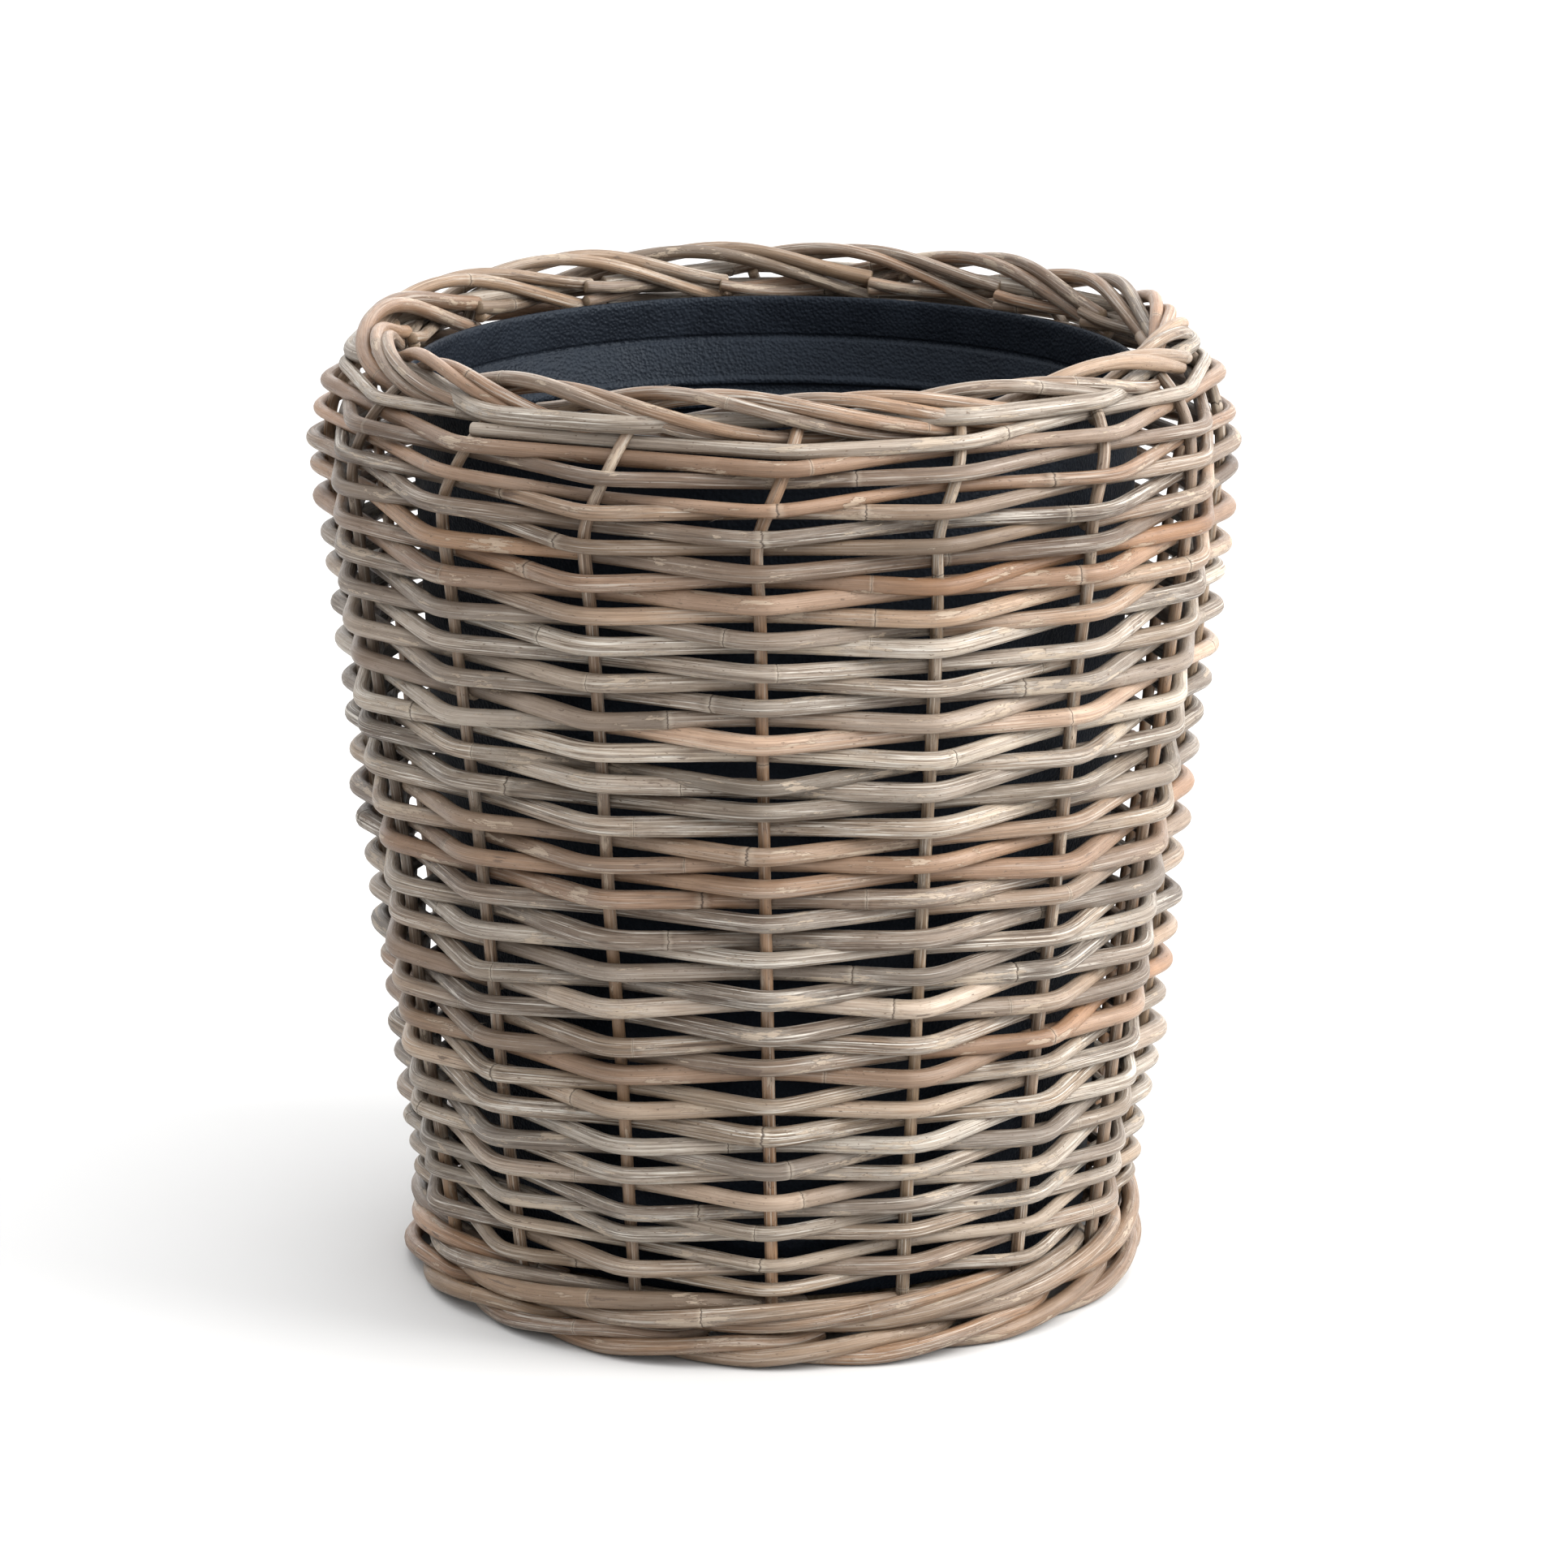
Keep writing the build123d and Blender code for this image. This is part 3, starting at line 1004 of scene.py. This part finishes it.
def inner_wall(drop, inset):
    """A point on the inside of the liner, a drop below its edge and an inset from its wall."""
    height = liner_top - drop
    return (liner_radius(height) - liner_wall - inset, height)


# The bands moulded inside the liner: (drop below the edge, inset from the wall)
liner_bands = [
    (0.0040, 0.0004),
    (0.0055, 0.0),
    (0.0205, 0.0),
    (0.0215, -0.0010),
    (0.0235, -0.0010),
    (0.0245, 0.0008),
    (0.0440, 0.0010),
    (0.0455, 0.0026),
    (0.0480, 0.0028),
    (0.0492, 0.0010),
    (0.0530, 0.0010),
    (0.0545, 0.0034),
    (0.0610, 0.0036),
    (0.0625, 0.0),
    (0.2000, 0.0),
    (0.3600, 0.0),
]


def liner_section():
    """Outline of the liner's wall from the outside of its floor up and back down inside."""
    inner_floor_radius = liner_bottom_radius - liner_wall
    inner_floor = liner_bottom + liner_wall
    outside = [
        (0.0, liner_bottom),
        (liner_bottom_radius - floor_bend, liner_bottom),
        (liner_bottom_radius - 0.3 * floor_bend, liner_bottom + 0.3 * floor_bend),
        (liner_radius(liner_bottom + floor_bend), liner_bottom + floor_bend),
        (liner_top_radius, liner_top - 0.0012),
        (liner_top_radius - 0.0008, liner_top),
    ]
    lip = [
        (liner_top_radius - 0.0022, liner_top),
        (liner_top_radius - 0.0028, liner_top - 0.001),
    ]
    inside = [inner_wall(drop, inset) for drop, inset in liner_bands]
    floor = [
        (inner_floor_radius - 0.003, inner_floor + 0.004),
        (inner_floor_radius - 0.008, inner_floor),
        (0.0, inner_floor),
    ]
    return outside + lip + inside + floor


def lap_lift(angle, drop):
    """How far the inner band is lifted: it starts at the lap and sinks back half a turn on."""
    if not lap_band[0] < drop < lap_band[1]:
        return 0.0
    past_lap = np.clip((angle - lap_angle) / lap_ramp, 0, 1)
    back_down = 1 - np.clip((angle - lap_angle - radians(170)) / 0.3, 0, 1)
    return lap_rise * past_lap * back_down


def liner_piece():
    """The liner, with the lap where the ends of its inner band meet."""
    section = liner_section()
    rings = len(section) - 2
    points = []
    for radius, height in section[1:-1]:
        for side in range(liner_sides):
            angle = side * 2 * pi / liner_sides
            lift = lap_lift(angle, liner_top - height)
            points.append((radius * cos(angle), radius * sin(angle), height + lift))
    faces = []
    for ring in range(rings - 1):
        below = ring * liner_sides
        above = below + liner_sides
        for side in range(liner_sides):
            after = (side + 1) % liner_sides
            faces.append((below + side, below + after, above + after, above + side))
    outer_centre = len(points)
    inner_centre = outer_centre + 1
    points += [(0.0, 0.0, section[0][1]), (0.0, 0.0, section[-1][1])]
    last_ring = (rings - 1) * liner_sides
    for side in range(liner_sides):
        after = (side + 1) % liner_sides
        faces.append((outer_centre, after, side))
        faces.append((inner_centre, last_ring + side, last_ring + after))
    mesh = bpy.data.meshes.new("log_liner")
    mesh.from_pydata(points, [], faces)
    mesh.polygons.foreach_set("use_smooth", np.ones(len(faces), bool))
    piece = place_piece(mesh, "log_liner", liner_material(), ["liner"], "liner")
    bevel = piece.modifiers.new("edges", "BEVEL")
    bevel.width = 0.0004
    bevel.limit_method = "ANGLE"


liner_piece()


# ---------------------------------------------------------------- floor, light and camera

overall_height = cad_box[1].z - cad_box[0].z
floor_reach = 40 * overall_height
brightest_side = (0.55, 0.26, 0.79)
darkest_glow = 0.16
brightest_glow = 2.45
key_place = (2.8, -0.8, 2.0)
key_size = 2.0
key_power = 135
key_colour = (1.0, 0.98, 0.95)
camera_pitch = radians(15.45)
camera_distance = 6.185 * overall_height
camera_target = Vector((0, 0, 0.487 * overall_height))
camera_lens = 136.7
camera_shift = (0.0057, 0.0099)


def floor_piece():
    ways = ((-1, -1), (1, -1), (1, 1), (-1, 1))
    corners = [(x * floor_reach, y * floor_reach, 0) for x, y in ways]
    mesh = bpy.data.meshes.new("studio_floor")
    mesh.from_pydata(corners, [], [(0, 1, 2, 3)])
    mesh.materials.append(floor_material())
    floor = bpy.data.objects.new("studio_floor", mesh)
    bpy.context.scene.collection.objects.link(floor)


def area_light(name, place, aim, size, power, colour):
    data = bpy.data.lights.new(name, "AREA")
    data.shape = "DISK"
    data.size = size
    data.energy = power
    data.color = colour
    light = bpy.data.objects.new(name, data)
    light.location = place
    light.rotation_mode = "QUATERNION"
    light.rotation_quaternion = (Vector(aim) - Vector(place)).to_track_quat("-Z", "Y")
    bpy.context.scene.collection.objects.link(light)


def studio():
    """White surroundings, brightest above the back right, and one large soft light on the right."""
    world = bpy.data.worlds.new("white_studio")
    world.use_nodes = True
    tree = world.node_tree
    backdrop = tree.nodes["Background"]
    direction = add(tree, "ShaderNodeTexCoord").outputs["Generated"]
    inputs = {0: direction, 1: brightest_side}
    toward = add(tree, "ShaderNodeVectorMath", inputs, operation="DOT_PRODUCT").outputs["Value"]
    glow = ramp(tree, toward, -0.75, 0.9, darkest_glow, brightest_glow)
    tree.links.new(glow, backdrop.inputs["Strength"])
    backdrop.inputs["Color"].default_value = (1.0, 1.0, 1.0, 1.0)
    bpy.context.scene.world = world
    middle = (0, 0, overall_height / 2)
    area_light("key", key_place, middle, key_size, key_power, key_colour)


def camera():
    data = bpy.data.cameras.new("camera")
    data.sensor_width = 36
    data.lens = camera_lens
    data.shift_x, data.shift_y = camera_shift
    eye = bpy.data.objects.new("camera", data)
    away = Vector((0, -cos(camera_pitch), sin(camera_pitch)))
    eye.location = camera_target + camera_distance * away
    eye.rotation_mode = "QUATERNION"
    eye.rotation_quaternion = (camera_target - eye.location).to_track_quat("-Z", "Y")
    bpy.context.scene.collection.objects.link(eye)
    bpy.context.scene.camera = eye


floor_piece()
studio()
camera()
bpy.context.scene.view_settings.view_transform = "Standard"
